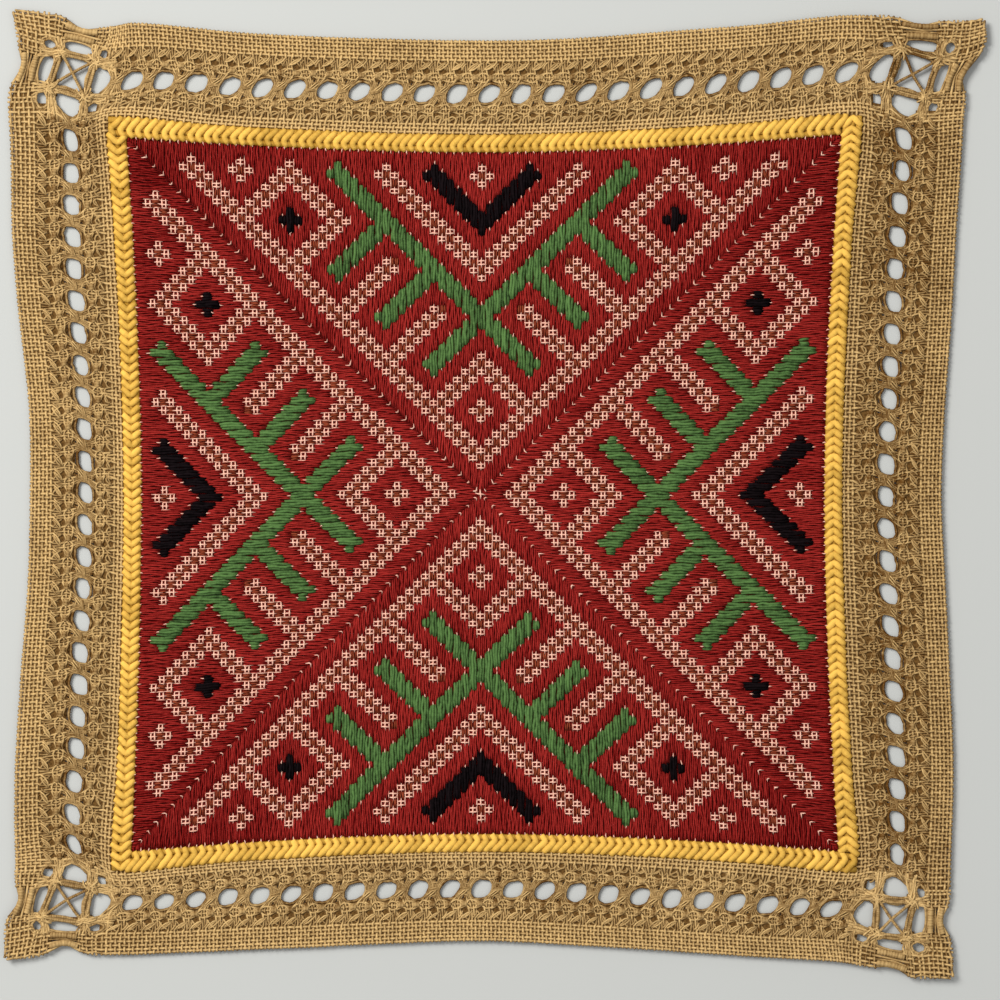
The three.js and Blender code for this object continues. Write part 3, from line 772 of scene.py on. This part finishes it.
def fancyWork(side):
    turn = turns[side]
    runs = []

    def add(kind, a, b, height=0.0, tone=None, radius=None):
        look = openYarns[kind]
        runs.append(strand(turn, a, b, linen["mid"] + look["height"] + height, radius or look["radius"],
                           look["tone"] if tone is None else tone))

    for i, tie in enumerate(tiePlaces):
        look, share = openYarns["tie"], np.linspace(-1, 1, 6)
        for shift in look["shifts"]:
            add("tie", tie + look["half"] * share,
                bandMiddle["gap"] + shift + (0.25 + 0.2 * luck.random()) * share,
                look["arch"] * (1 - share ** 4), 0.25 + 0.2 * luck.random())
        look, share = openYarns["tail"], np.linspace(0, 1, 4)
        for shift in look["shifts"]:
            add("tail", tie - 0.2 + (1.7 + 0.3 * luck.random()) * share + shift,
                look["across"] + 1.6 * share - shift * 0.6, look["arch"] * np.sin(share * math.pi))
        if i < len(tiePlaces) - 1:
            runs.append(openingRim(turn, tie + tiePitch / 2, side in ("left", "right")))
        look, share = openYarns["knot"], np.linspace(-1, 1, 5)
        for across, lean in look["places"]:
            add("knot", tie + look["half"] * share + lean, across + shake(0.15) + 0.3 * share * shake(1),
                look["arch"] * (1 - share ** 2), 0.35 + 0.3 * luck.random())
    edges = np.arange(tiePlaces[0], tiePlaces[-1] + 1, groupPitch)
    for i, edge in enumerate(edges):
        for band, lean in (("inner", -0.4), ("outer", 0.4)):
            middle, at = bandMiddle[band], edge + lean
            look = barLooks["group"]
            runs.append(wrappedBar(turn, look, (at - look["half"], middle), (at + look["half"], middle)))
            if i % 2 == 0:
                look = barLooks["tie"]
                near = middle + (look["inward"] if band == "inner" else -look["inward"])
                runs.append(wrappedBar(turn, look, (edge - look["half"], near), (edge + look["half"], near)))
            if i < len(edges) - 1:
                look = openYarns["rosette"]
                points, jitter = look["points"], look["jitter"]
                angle = np.linspace(0, 2 * math.pi, points) + luck.random()
                a = at + groupPitch / 2 + look["along"] * np.cos(angle) + shake(jitter, points)
                b = middle + look["across"] * np.sin(angle) + shake(jitter, points)
                a[-1], b[-1] = a[0], b[0]
                add("rosette", a, b, 0.0,
                    look["tone"] + look["ridge"] * (np.arange(points) % 2) + shake(0.08, points))
        look, share = openYarns["loop"], np.linspace(0, 1, 8)
        add("loop", edge - 0.9 + 1.9 * np.sin(share * math.pi * 0.975),
            look["across"] + 1.7 * np.sin(share * math.pi))
        look, share = openYarns["slant"], np.linspace(0, 1, 5)
        arch = np.sin(share * math.pi)
        for startA, startB, endA, endB, radius in slantPaths:
            add("slant", edge + startA + (endA - startA) * share + shake(0.15),
                startB + (endB - startB) * share + look["bend"] * arch + shake(0.1),
                look["arch"] * arch, 0.35 + 0.3 * luck.random(), radius)
        look = openYarns["hook"]
        add("hook", edge + np.array(look["along"]), np.array(look["across"]) + shake(0.12))
        look, share = openYarns["curl"], np.linspace(0, 1, 6)
        for part in (0, 2):
            a = edge + part + shake(0.4) + np.cos(share * math.pi * (0.9 + 0.5 * luck.random()))
            b = look["across"] + shake(0.2)
            b = b + (0.7 + 0.5 * luck.random()) * np.sin(share * math.pi * 1.2)
            add("curl", a, b)
        look, share = openYarns["inner"], np.linspace(0, 1, 4)
        add("inner", edge - 1.2 + 2.6 * share + shake(0.2), look["across"] + 1.4 * share + shake(0.15))
    return runs


# The two cords of each bar round a corner window, its crossing arms, and the double bars at the edge.
def cornerBars(turn):
    runs = []
    far, near, gap = (bandMiddle[band] for band in ("outer", "inner", "gap"))
    trim = 0.14
    for start, end in (((-far, near), (-far, far)), ((-near, near), (-near, far)),
                       ((-far, far), (-near, far)), ((-far, near), (-near, near))):
        low = [s * (1 - trim) + e * trim for s, e in zip(start, end)]
        high = [s * trim + e * (1 - trim) for s, e in zip(start, end)]
        for bow in (-0.45, 0.55):
            runs.append(wrappedBar(turn, barLooks["ring"], low, high, bow))
    for start, end in (((-far, far), (-near, near)), ((-far, near), (-near, far))):
        runs.append(wrappedBar(turn, barLooks["arm"], start, (-gap, gap)))
        runs.append(wrappedBar(turn, barLooks["arm"], (-gap, gap), end))
    for depth in (111.9, 115.0):
        runs.append(wrappedBar(turn, barLooks["edge"], (-105.2, depth), (-99.4, depth)))
        runs.append(wrappedBar(turn, barLooks["edge"], (-depth, 99.4), (-depth, 105.2)))
    return runs


# Strands that fill the corner between the window and the woven patches round it.
cornerWebs = [
    # from a, from b, to a, to b, strands, spread
    (-106.4, 106.4, -106.4, 111.6, 4, 1.3),
    (-106.4, 106.4, -111.6, 106.4, 4, 1.3),
    (-98.2, 106.4, -98.2, 111.6, 5, 1.5),
    (-98.2, 106.4, -92.0, 106.4, 6, 1.6),
    (-106.4, 98.2, -111.6, 98.2, 5, 1.5),
    (-106.4, 98.2, -106.4, 92.0, 6, 1.6),
    (-98.2, 98.2, -98.2, 92.5, 5, 1.4),
    (-98.2, 98.2, -92.5, 98.2, 5, 1.4),
]

# The openings round a corner window: their middles, half sizes and how square they are (2 is an oval).
cornerHoles = [
    # middle a, middle b, half a, half b, squareness
    (-109.1, 109.1, 1.6, 1.5, 2.0),
    (-102.3, 108.9, 4.0, 1.8, 2.1),
    (-108.9, 102.3, 1.8, 4.0, 2.1),
    (-95.9, 109.2, 1.7, 1.4, 2.0),
    (-109.2, 95.9, 1.4, 1.7, 2.0),
    (-95.7, 102.3, 3.0, 3.4, 2.3),
    (-102.3, 95.7, 3.4, 3.0, 2.3),
    (-95.7, 95.7, 1.8, 1.7, 2.0),
]


# The yarns of a corner, with heights above the middle of the weave.
cornerYarns = {
    "web": {"height": 0.12, "jitter": 0.12, "radius": 0.33, "tone": 0.45},
    "knot": {"places": ((-106.4, 106.4), (-98.2, 106.4), (-106.4, 98.2), (-98.2, 98.2)), "strands": 9,
             "half": 1.5, "jitter": 0.5, "height": 0.35, "arch": 0.25, "radius": 0.28, "tone": 0.5},
    "woven": {"lines": (-109.75, -108.8, -96.3, -95.45), "from": 110.5, "to": 116.6, "step": 0.5,
              "jitter": 0.05, "rise": 0.2, "radius": 0.36},
    # grow, radius, height
    "hole": {"rounds": ((0.0, 0.38, 0.05), (0.5, 0.36, -0.15)), "points": 26, "jitter": 0.06, "tone": 0.32},
}


def cornerFill(turn):
    runs = []
    mid = linen["mid"]
    look, share = cornerYarns["web"], np.linspace(0, 1, 6)
    for fromA, fromB, toA, toB, count, spread in cornerWebs:
        sideways = int(fromA == toA)
        for i in range(count):
            offset = spread * (i / (count - 1) - 0.5) * (0.35 + 0.65 * share) * 2
            a = fromA + (toA - fromA) * share + offset * sideways + shake(look["jitter"], 6)
            b = fromB + (toB - fromB) * share + offset * (1 - sideways) + shake(look["jitter"], 6)
            height = mid + look["height"] + shake(look["jitter"], 6)
            runs.append(strand(turn, a, b, height, look["radius"], look["tone"] + shake(0.2, 6)))
    look, share = cornerYarns["knot"], np.linspace(-1, 1, 5)
    for knotA, knotB in look["places"]:
        for i in range(look["strands"]):
            angle, bend = luck.uniform(0, 2 * math.pi), shake(0.5)
            onA, onB = math.cos(angle), math.sin(angle)
            a = knotA + shake(look["jitter"]) + look["half"] * share * onA - bend * share ** 2 * onB
            b = knotB + shake(look["jitter"]) + look["half"] * share * onB + bend * share ** 2 * onA
            height = mid + look["height"] + look["arch"] * (1 - share ** 2)
            runs.append(strand(turn, a, b, height, look["radius"], look["tone"] + shake(0.2, 5)))
    look = cornerYarns["woven"]
    steps = np.arange(look["from"], look["to"], look["step"])
    for line in look["lines"]:
        for flip in (False, True):
            sign = np.where(np.arange(len(steps)) % 2 == (int(-line) + flip) % 2, 1, -1)
            a, b = (-steps, -line) if flip else (line, steps)
            b = b + shake(look["jitter"], len(steps))
            # Painted light and shade: lighter where a thread goes over, darker where it goes under.
            runs.append(strand(turn, a, b, mid + look["rise"] * sign, look["radius"],
                               linen["shade"] + linen["overUnderShade"] * sign))
    look = cornerYarns["hole"]
    points = look["points"]
    angle = np.linspace(0, 2 * math.pi, points)
    for middleA, middleB, halfA, halfB, corner in cornerHoles:
        shape = squaredOval(angle, corner)
        for grow, radius, height in look["rounds"]:
            a = middleA + (halfA + grow) * shape * np.cos(angle) + shake(look["jitter"], points)
            b = middleB + (halfB + grow) * shape * np.sin(angle) + shake(look["jitter"], points)
            a[-1], b[-1] = a[0], b[0]
            tone = look["tone"] - 0.2 * (np.arange(points) % 2) + shake(0.08, points)
            runs.append(strand(turn, a, b, mid + height, radius, tone))
    return runs


# Painted shade: how much darker the linen of each side is painted than at the top.
paintedSideShade = {"top": 0.0, "right": 0.18, "bottom": 0.02, "left": 0.04}


# Painted shade: lowers the tone of every run by the given amount.
def shaded(runs, amount):
    return [(points, radius, tone - amount) for points, radius, tone in runs]


borderPieces = []
for side, turn in turns.items():
    # Painted shade over all the openwork yarns.
    openwork = shaded(fancyWork(side), linen["openShade"])
    for name, runs, sides in (("linen_threads_", borderSide(turn), linen["sides"]),
                              ("openwork_", openwork, 4),
                              ("wrapped_bars_", cornerBars(turn) + cornerFill(turn), 6)):
        piece = yarnMesh(name + side, shaded(runs, paintedSideShade[side]), sides, linen["flat"])
        piece.data.materials.append(yarns["linenYarn"])
        borderPieces.append(piece)
    print("stage: border", side, [triangleCount(piece) for piece in borderPieces[-3:]])


# The chart of one wedge, in cells of two threads: column from the axis, row from the middle outwards.
def plus(column, row):
    return {(column, row), (column, row + 1), (column, row - 1), (column + 1, row), (column - 1, row)}


def makeChart():
    marks, warm, black, green = set(), set(), set(), set()

    def pointedBand(reach, row):
        for c in range(-reach, reach + 1):
            marks.add((c, row + abs(c)))
            if abs(c) < reach:
                marks.add((c, row + 2 + abs(c)))
                warm.add((c, row + 1 + abs(c)))

    pointedBand(37, 0)
    for middle, height in ((0, 7), (24, 31), (-24, 31)):
        for c in range(-7, 8):
            for k in range(-7, 8):
                apart = abs(c) + abs(k)
                if apart in (5, 7):
                    marks.add((middle + c, height + k))
                if apart == 6:
                    warm.add((middle + c, height + k))
    for middle, height in ((0, 7), (0, 37), (30, 37), (-30, 37)):
        marks |= plus(middle, height) - {(middle, height)}
        warm.add((middle, height))
    pointedBand(13, 24)
    for sign in (-1, 1):
        for start, end, offset, into in ((-18, -12, 38, marks), (-17, -11, 36, marks), (-12, -6, 26, marks),
                                         (-11, -5, 24, marks), (-18, -11, 37, warm), (-12, -5, 25, warm)):
            for c in range(start, end + 1):
                into.add((-sign * c, c + offset))
        for c in range(-18, 7):
            green |= plus(-sign * c, 19 - c)
        for start, end, offset in ((-18, -12, 43), (-12, -6, 31)):
            for c in range(start, end + 1):
                green |= plus(-sign * c, c + offset)
        black |= plus(sign * 24, 31)
    for c in range(-6, 7):
        black |= plus(c, 31 + abs(c))
    green -= marks | warm
    black -= marks | warm | green
    return marks, warm - marks, black, green


chart = dict(zip(("marks", "warm", "black", "green"), makeChart()))
chartRows = 41
cellThreads = 2.0
apexThread = 7.2


def colourOf(column, row):
    for name in ("marks", "warm", "black", "green"):
        if (column, row) in chart[name]:
            return name
    return "red"


darning = {
    "radius": 0.4, "height": 1.0, "step": 1.6, "wave": 0.14, "lanes": (-0.75, -0.25, 0.25, 0.75),
    "follow": 0.65, "dip": 0.25,
    "valley": 0.5,  # how far a row dips where it starts at a diagonal
    "tone": 0.49,
    "cornerShade": 0.32,
    "warmSlim": 0.92, "warmDrop": 0.12, "warmTone": 0.45, "warmDip": 0.2,
    "lumpLanes": (-0.6, 0.0, 0.6), "lumpRadius": 0.46, "lumpFollow": 0.45, "lumpDip": 0.4, "lumpOver": 0.15,
    "proud": 0.26,  # how far the middle strand of the thicker wool stands above the red
    # The side strands of the thicker wool lie lower by besideDrop, and besideShade paints them darker as shade.
    "besideDrop": 0.2, "besideShade": 0.12,
}


# A strand laid over the linen from low to high, waving a little as spun wool does.
def floatRun(turn, a, low, high, radius, height, tone, dip):
    steps = max(2, int(round((high - low) / darning["step"])))
    b = np.linspace(low, high, steps + 1)
    rise = height + shake(0.035, steps + 1)
    rise[[0, -1]] -= dip
    turning = 2 * math.pi * (b / luck.uniform(4.5, 9.0) + luck.random())
    beside = a + darning["wave"] * np.sin(turning) + shake(0.05, steps + 1)
    thick = radius * (1 + shake(0.06, steps + 1))
    thick[[0, -1]] *= 0.85
    return strand(turn, beside, b, rise, thick, tone + shake(0.07, steps + 1))


# The stretches of one colour in a column, as [colour, first row, last row].
def columnStretches(c):
    stretches = []
    for k in range(-3, chartRows + 1):
        if apexThread + cellThreads * (k + 0.5) <= abs(cellThreads * c) - 1:
            continue
        name = colourOf(c, k)
        if stretches and stretches[-1][0] == name:
            stretches[-1][2] = k
        else:
            stretches.append([name, k, k])
    return stretches


# How many rows the same change of colour has risen in the next column on each side.
def edgeSlope(c, before, after, row, stretches):
    found = []
    for step in (-1, 1):
        column = stretches.get(c + step, [])
        for first, second in zip(column, column[1:]):
            if first[0] == before and second[0] == after and abs(second[1] - row) <= 1:
                found.append((second[1] - row) * step)
    return sum(found) / 2


def darnWedge(turn):
    runs = {"red": [], "warm": [], "green": [], "black": []}
    field = cloth["fieldThreads"]
    stretches = {c: columnStretches(c) for c in range(-44, 45)}
    ends = []
    for c, column in stretches.items():
        slopes = {}
        for first, second in zip(column, column[1:]):
            if "marks" not in (first[0], second[0]) and "warm" not in (first[0], second[0]):
                slopes[second[1]] = edgeSlope(c, first[0], second[0], second[1], stretches)
        for name, first, last in column:
            if name in ("green", "black"):
                ends.append((c, apexThread + cellThreads * first - 1, apexThread + cellThreads * last + 1))
        for lane in darning["lanes"] + darning["lumpLanes"]:
            lump = lane in darning["lumpLanes"]
            a = cellThreads * c + lane
            if abs(a) > field - 0.3:
                continue
            follow = darning["lumpFollow" if lump else "follow"]
            shift = {row: follow * slope * lane + shake(0.16) for row, slope in slopes.items()}
            for name, first, last in column:
                low = apexThread + cellThreads * first - 1 + shift.get(first, 0)
                high = min(apexThread + cellThreads * last + 1 + shift.get(last + 1, 0), field)
                if name == "marks" or lump != (name in ("green", "black")):
                    continue
                if high <= abs(a) + 0.3 or low >= field:
                    continue
                low = max(low, abs(a) - 0.15)
                tone = float(np.clip(luck.normal(darning["tone"], 0.1), 0.1, 0.9))
                tone -= darning["cornerShade"] * (a / field) ** 2
                radius, height, dip = darning["radius"], darning["height"], darning["dip"]
                if name == "warm":
                    radius, height = radius * darning["warmSlim"], height - darning["warmDrop"]
                    tone, dip = darning["warmTone"], darning["warmDip"]
                elif name == "red":
                    dip = darning["valley"] if low < abs(a) else dip
                else:
                    low, high = low - darning["lumpOver"], high + darning["lumpOver"]
                    radius, dip = darning["lumpRadius"], darning["lumpDip"]
                    height += darning["proud"] - darning["besideDrop"] * (lane != 0)
                    # Painted shade on the lower side strands.
                    tone -= darning["besideShade"] * (lane != 0)
                runs[name].append(floatRun(turn, a, low, high, radius, height, tone, dip))
    return runs, ends


mark = {"radius": 0.31, "height": 1.08, "rise": 0.05, "ends": 0.15, "tone": 0.75}


# The bare linen left showing between the darned colours: two threads across, three along.
def markRuns(turn):
    runs = []

    def lay(a, b, radius):
        count = len(radius)
        a = a + shake(0.05, count) + shake(0.03)
        b = b + shake(0.05, count) + shake(0.03)
        height = mark["height"] + shake(mark["rise"], count)
        height[[0, -1]] -= mark["ends"]
        radius = np.array(radius) * mark["radius"]
        runs.append(strand(turn, a, b, height, radius, mark["tone"] + 0.3 * luck.random()))

    for c, k in chart["marks"]:
        a, b = cellThreads * c, apexThread + cellThreads * k
        if b > cloth["fieldThreads"] - 0.4:
            continue
        for shift in (-0.5, 0.5):
            reach = 1.08 + shake(0.1)
            lay(a + np.array([-reach, -0.5, 0.5, reach]), b + shift, (0.5, 0.95, 0.95, 0.5))
        spike = 1.35 + shake(0.15)
        lay(a, b + np.array([-spike, -0.5, 0.5, spike]), (0.3, 0.95, 0.95, 0.3))
        for shift in (-1.0, 1.0):
            up, down = luck.uniform(0.6, 1.7, 2)
            lay(a + shift, b + np.array([-down, 0, up]), (0.25, 0.7, 0.25))
    return runs


fleck = {"radius": 0.3, "jitter": 0.08, "tone": 0.6, "share": 0.65}


# Small crossing stitches along the diagonals, at the braid and at the ends of the thicker wool.
def fleckRuns(side, turn, ends):
    runs = []

    def lay(u, v, height, radius):
        u = np.asarray(u) + shake(fleck["jitter"], len(radius))
        v = np.asarray(v) + shake(fleck["jitter"], len(radius))
        runs.append(strand(turns["top"], u, v, darning["height"] + np.array(height),
                           fleck["radius"] * np.array(radius), fleck["tone"] + 0.5 * luck.random()))

    if side in ("top", "bottom"):
        down = 1 if side == "top" else -1
        for j in range(1, 87, 2):
            for out in (-1, 1):
                size, thick = luck.uniform(0.55, 1.45), luck.uniform(0.6, 1.1)
                lay([out * (j + size), out * (j + 0.3), out * j, out * j],
                    [down * (j - 0.1), down * (j - 0.15), down * j, down * (j + 0.75 * size)],
                    (0.05, 0.28, 0.3, 0.05), thick * np.array([0.4, 1.0, 1.0, 0.4]))
    for j in range(-85, 86, 2):
        length = 0.35 + 0.6 * luck.random()
        u, v = turn(np.full(3, j), cloth["fieldThreads"] - np.array([-0.15, 0.4 * length, length]))
        lay(u, v, (0.1, 0.2, -0.05), (0.7, 0.8, 0.4))
    for c, low, high in ends:
        for b, out in ((low, -1), (high, 1)):
            if luck.random() < fleck["share"]:
                size = luck.uniform(0.3, 0.8)
                u, v = turn(np.full(3, cellThreads * c), b + out * np.array([-0.1, 0.3, 0.3 + size]))
                lay(u, v, (0.1, 0.2, 0.0), (0.5, 0.75, 0.4))
    if side == "top":
        lay([-1.3, -0.4, 0.4, 1.3], [0.2, 0, 0, -0.1], (0.0, 0.2, 0.2, 0.0), (0.6, 1.1, 1.1, 0.6))
        lay([0, 0.1, 0, -0.1], [-1.3, -0.4, 0.4, 1.4], (0.0, 0.25, 0.25, 0.0), (0.6, 1.1, 1.1, 0.6))
    return runs


# Each darned colour: its material, the sides of its strands and how flat they are.
colourLooks = {"red": ("redYarn", 3, 0.72), "warm": ("rustYarn", 3, 0.72), "green": ("greenYarn", 5, 0.95),
               "black": ("blackYarn", 5, 0.95)}
darnedPieces = {}
for side, turn in turns.items():
    runs, ends = darnWedge(turn)
    for name, (yarn, sides, flat) in colourLooks.items():
        piece = yarnMesh("darned_" + name + "_" + side, runs[name], sides, flat)
        piece.data.materials.append(yarns[yarn])
        darnedPieces[name, side] = piece
    piece = yarnMesh("linen_marks_" + side, markRuns(turn) + fleckRuns(side, turn, ends), 3, 1.0)
    piece.data.materials.append(yarns["pinkLinen"])
    darnedPieces["marks", side] = piece
    shown = [triangleCount(darnedPieces[name, side]) for name in ("red", "green", "black", "marks")]
    print("stage: darning", side, shown)

# The braid: overlapping stitches, each a bent strand from the inside of the band to its outside.
braid = {"start": -91.6, "end": 87.3, "stitches": 86, "inside": 87.55, "outside": 91.75, "height": 1.3,
         "radius": 1.0, "swell": 0.2, "sides": 8, "flat": 0.55, "tone": 0.38}
# Painted shade between the stitches: long strands below them, at these shares of the band's width, their tone
# at the dark end of the yellow wool.
braidShadeCore = {"shares": (0.15, 0.5, 0.85), "points": 60, "drop": 0.5, "radius": 0.95, "tone": -0.1}
# How far a stitch leans along the band, in threads, at five shares of its width, and how high it stands.
stitchPaths = {
    "slanted": {"across": (0.0, 0.3, 0.5, 0.78, 1.0), "along": (0.7, -0.5, 0.05, 1.5, 2.4),
                "rise": (-0.35, -0.02, 0.06, 0.08, -0.35)},
    "pointed": {"across": (0.0, 0.25, 0.5, 0.75, 1.0), "along": (1.5, 0.5, -0.5, 0.55, 1.5),
                "rise": (-0.45, 0.08, -0.15, 0.08, -0.35)},
}


def braidRuns(side):
    turn = turns[side]
    path = stitchPaths["slanted" if side in ("top", "bottom") else "pointed"]
    pitch = (braid["end"] - braid["start"]) / braid["stitches"]
    width = braid["outside"] - braid["inside"]
    share = np.linspace(0, 1, 9)
    lean = np.interp(share, path["across"], path["along"])
    lean = np.convolve(np.pad(lean, 1, mode="edge"), (0.25, 0.5, 0.25), "valid")
    rise = np.interp(share, path["across"], path["rise"])
    runs = []
    for i in range(braid["stitches"]):
        s = braid["start"] + pitch * (i + 0.5) + shake(0.08)
        a = np.clip(s + lean * (1 + shake(0.06)), braid["start"], braid["end"] + 0.6)
        b = braid["inside"] + width * share + shake(0.06)
        swell = 1 - braid["swell"] * (2 * share - 1) ** 2 + shake(0.04, 9)
        runs.append(strand(turn, a, b, braid["height"] + rise + 0.03 * (i % 2), braid["radius"] * swell,
                           braid["tone"] + 0.1 * luck.normal()))
    a = np.linspace(braid["start"] + 0.3, braid["end"], braidShadeCore["points"])
    # Strands under the stitches, painted dark as shade between them.
    for across in braidShadeCore["shares"]:
        runs.append(strand(turn, a, braid["inside"] + width * across, braid["height"] - braidShadeCore["drop"],
                           braidShadeCore["radius"], braidShadeCore["tone"]))
    return runs


braidPieces = {}
for side in turns:
    piece = yarnMesh("braid_stitches_" + side, braidRuns(side), braid["sides"], braid["flat"])
    piece.data.materials.append(yarns["yellowYarn"])
    braidPieces[side] = piece
    print("stage: braid", side, triangleCount(piece))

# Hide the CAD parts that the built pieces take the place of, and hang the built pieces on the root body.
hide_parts("linen_ground")
for side in turns:
    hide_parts("darning_" + side)
    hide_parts("branches_" + side)
    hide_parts("chevron_" + side, "dot_" + side + "_1", "dot_" + side + "_2")
    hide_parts("braid_" + side)
worked = borderPieces + list(darnedPieces.values()) + list(braidPieces.values())
for piece in [ground] + worked:
    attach(piece, "root")

# Table, lights and camera
studio = {
    "table": {"size": 6, "drop": 0.0002, "colour": (0.565, 0.578, 0.56), "rough": 0.8, "shine": 0.5},
    "keyLight": {"place": (-1.05, 0.8, 1.25), "size": 0.8, "power": 34.5, "colour": (1.0, 0.985, 0.96)},
    "fillLight": {"place": (1.0, -0.7, 1.6), "size": 1.4, "power": 3, "colour": (1.0, 1.0, 1.0)},
    "sky": 0.40,
    "cameraHeight": 1.1,
    "photoWidth": 1000,  # in plan units
}


def makeFloor():
    look = studio["table"]
    bpy.ops.object.select_all(action="DESELECT")
    bpy.ops.mesh.primitive_plane_add(size=look["size"], location=(0, 0, -look["drop"]))
    floor = bpy.context.object
    floor.name = "table_top"
    material, tree, shader = newMaterial("paleTable", look["rough"], look["shine"])
    feed(tree, shader.inputs["Base Color"], look["colour"])
    floor.data.materials.append(material)


def makeLight(name):
    look = studio[name]
    data = bpy.data.lights.new(name, "AREA")
    data.size = look["size"]
    data.energy = look["power"]
    data.color = look["colour"]
    light = bpy.data.objects.new(name, data)
    light.location = look["place"]
    direction = np.array(look["place"]) / np.linalg.norm(look["place"])
    light.rotation_euler = (math.acos(direction[2]), 0, math.atan2(direction[0], -direction[1]))
    bpy.context.scene.collection.objects.link(light)


bpy.context.scene.view_settings.view_transform = "Standard"
makeFloor()
makeLight("keyLight")
makeLight("fillLight")
world = bpy.data.worlds.new("softRoom")
world.use_nodes = True
world.node_tree.nodes["Background"].inputs[0].default_value = (1.0, 1.0, 1.0, 1)
world.node_tree.nodes["Background"].inputs[1].default_value = studio["sky"]
bpy.context.scene.world = world

cameraData = bpy.data.cameras.new("aboveCamera")
camera = bpy.data.objects.new("aboveCamera", cameraData)
photoWidth, photoMiddle = studio["photoWidth"] * cloth["unit"], studio["photoWidth"] / 2
camera.location = ((photoMiddle - cloth["middle"][0]) * cloth["unit"],
                   (cloth["middle"][1] - photoMiddle) * cloth["unit"], studio["cameraHeight"])
cameraData.sensor_fit = "HORIZONTAL"
cameraData.angle = 2 * math.atan(photoWidth / 2 / (studio["cameraHeight"] - 0.001))
cameraData.clip_start = 0.01
bpy.context.scene.collection.objects.link(camera)
bpy.context.scene.camera = camera
print("stage: room ready, triangles", sum(triangleCount(piece) for piece in [ground] + worked))
